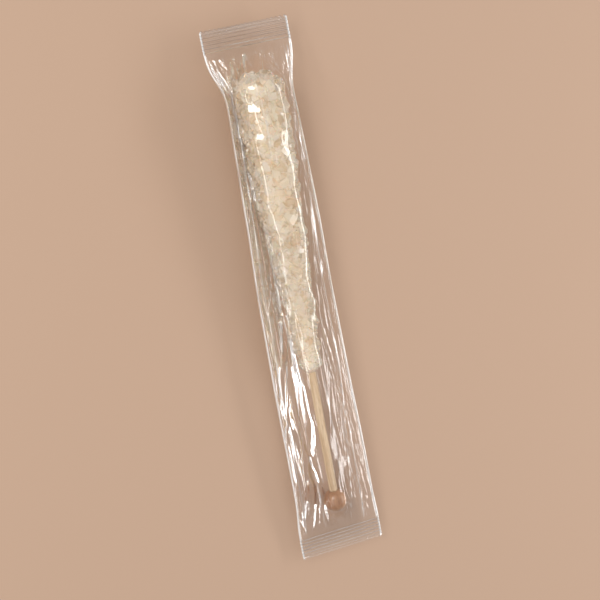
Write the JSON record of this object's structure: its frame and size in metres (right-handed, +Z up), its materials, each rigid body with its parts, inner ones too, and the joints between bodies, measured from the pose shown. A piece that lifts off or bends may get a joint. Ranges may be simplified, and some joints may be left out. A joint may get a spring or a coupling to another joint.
{
  "type": "rock candy stick",
  "caption": "Tapering mass of sugar crystals on a wooden dowel with a ball end, shut in a clear film sleeve with crimped ends, lying on its back.",
  "frame": {"origin": "on the surface that the sleeve lies on, below the middle of the sleeve's box", "axes": "+Y along the sleeve towards the thick end of the candy, +Z up from the surface, +X across the sleeve"},
  "size_m": [0.032, 0.198, 0.0193],
  "materials": {
    "sugar_crystal": "cloudy, colourless to cream, with bright facets",
    "dowel_wood": "bare pale birch, fine straight grain",
    "ball_wood": "turned and lightly polished",
    "clear_film": "thin clear glossy film, lightly creased"
  },
  "bodies": {
    "root": {"candy": "sugar_crystal", "dowel": "dowel_wood", "ball": "ball_wood", "sleeve": "clear_film"}
  },
  "joints": []
}
